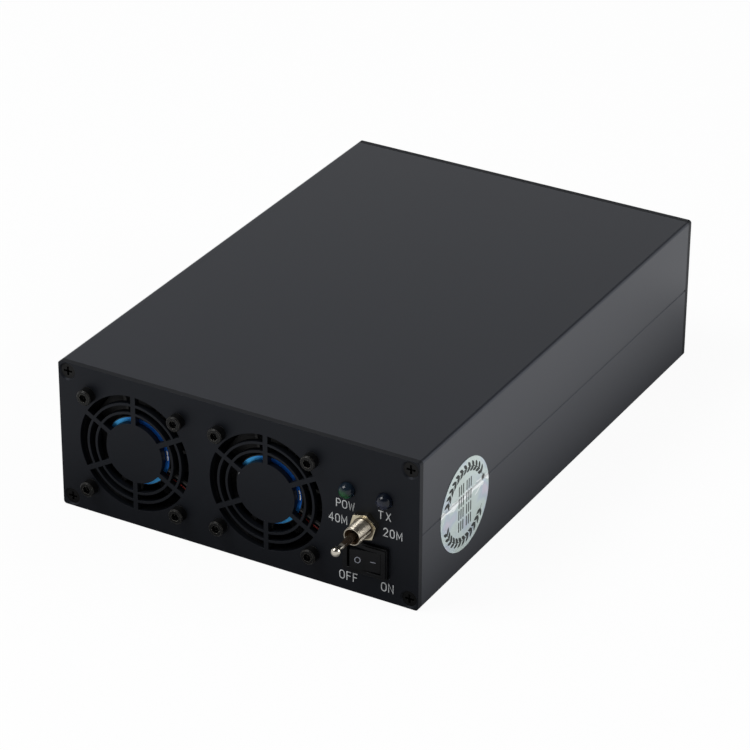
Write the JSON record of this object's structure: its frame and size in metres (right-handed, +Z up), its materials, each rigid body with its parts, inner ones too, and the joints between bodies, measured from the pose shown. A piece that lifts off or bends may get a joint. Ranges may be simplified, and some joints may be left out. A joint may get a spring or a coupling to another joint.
{
  "type": "hf linear amplifier",
  "caption": "Small HF linear amplifier in a black extruded aluminium case, with fan grilles, lamps, a toggle and a rocker switch in front and sockets behind.",
  "frame": {"origin": "centre of the case's underside, half way between the two panels", "axes": "+Z up, +Y towards the rear sockets, so the front panel faces -Y, and +X to the right as seen from the front"},
  "size_m": [0.1251, 0.2165, 0.05],
  "materials": {
    "case_anodised": "satin black anodised",
    "panel_black": "fine satin black",
    "screw_black": "black oxide",
    "seal_foil": "silver foil with a faint sheen",
    "fan_plastic": "moulded black",
    "fan_label_foil": "metallic blue foil",
    "bearing_bronze": "sintered bronze",
    "motor_steel": "stamped",
    "copper_wire": "enamelled copper",
    "magnet": "bonded ferrite",
    "steel": "plain steel",
    "lead_red": "red PVC",
    "lead_black": "black PVC",
    "lamp_green": "clear epoxy",
    "lamp_clear": "clear epoxy",
    "tinned": "tinned",
    "toggle_case": "moulded",
    "nickel": "nickel plate",
    "switch_plastic": "moulded black",
    "bare_aluminium": "as extruded",
    "brass": "turned",
    "board_green": "solder mask",
    "transistor_black": "moulded epoxy",
    "ferrite": "sintered",
    "core_yellow": "coated iron powder",
    "relay_black": "moulded",
    "capacitor_sleeve": "sleeved can",
    "lead_grey": "grey PVC",
    "coax_brown": "brown FEP",
    "socket_nickel": "nickel plate",
    "insulator_white": "PTFE",
    "gold_contact": "gilt"
  },
  "bodies": {
    "case": {"lower_shell": "case_anodised", "upper_shell": "case_anodised", "front_panel": "panel_black", "rear_panel": "panel_black", "panel_screws": "screw_black", "seal_sticker": "seal_foil", "fan_left_frame": "fan_plastic", "fan_right_frame": "fan_plastic", "fan_labels": "fan_label_foil", "fan_bearings": "bearing_bronze", "fan_stators": "motor_steel", "fan_coils": "copper_wire", "fan_screws": "screw_black", "fan_nuts": "steel", "fan_leads_red": "lead_red", "fan_leads_black": "lead_black", "power_lamp": "lamp_green", "transmit_lamp": "lamp_clear", "lamp_legs": "tinned", "toggle_body": "toggle_case", "toggle_bush": "nickel", "toggle_nut": "nickel", "rocker_housing": "switch_plastic", "switch_tags": "tinned", "heatsink": "bare_aluminium", "heatsink_screws": "screw_black", "board_spacers": "brass", "circuit_board": "board_green", "board_screws": "steel", "rf_transistors": "transistor_black", "transistor_screws": "steel", "ferrite_cores": "ferrite", "transformer_tubes": "brass", "filter_cores": "core_yellow", "filter_windings": "copper_wire", "relays": "relay_black", "electrolytic_capacitors": "capacitor_sleeve", "signal_leads": "lead_grey", "supply_leads": "lead_red", "coax_leads": "coax_brown", "rf_input_socket": "socket_nickel", "rf_output_socket": "socket_nickel", "rf_insulators": "insulator_white", "rf_contacts": "gold_contact", "rf_socket_screws": "socket_nickel", "ptt_jack": "switch_plastic", "ptt_nut": "socket_nickel", "dc_inlet": "socket_nickel", "dc_insert": "switch_plastic", "dc_pins": "gold_contact", "dc_nut": "socket_nickel"},
    "fan_left_rotor": {"fan_left_impeller": "fan_plastic", "fan_left_magnet": "magnet", "fan_left_shaft": "steel"},
    "fan_right_rotor": {"fan_right_impeller": "fan_plastic", "fan_right_magnet": "magnet", "fan_right_shaft": "steel"},
    "toggle": {"toggle_lever": "nickel"},
    "rocker": {"rocker_paddle": "switch_plastic"}
  },
  "joints": [
    {"name": "fan_left_spin", "type": "hinge", "parent": "case", "child": "fan_left_rotor", "pos_m": [-0.0359, -0.085, 0.025], "axis": [0, 1, 0], "continuous": true},
    {"name": "fan_right_spin", "type": "hinge", "parent": "case", "child": "fan_right_rotor", "pos_m": [0.01047, -0.085, 0.025], "axis": [0, 1, 0], "continuous": true},
    {"name": "toggle_swing", "type": "hinge", "parent": "case", "child": "toggle", "pos_m": [0.04479, -0.0955, 0.0245], "axis": [0, 0, 1], "range_deg": [-12, 12]},
    {"name": "rocker_tilt", "type": "hinge", "parent": "case", "child": "rocker", "pos_m": [0.04509, -0.091, 0.0132], "axis": [0, 0, -1], "range_deg": [0, 24]}
  ]
}
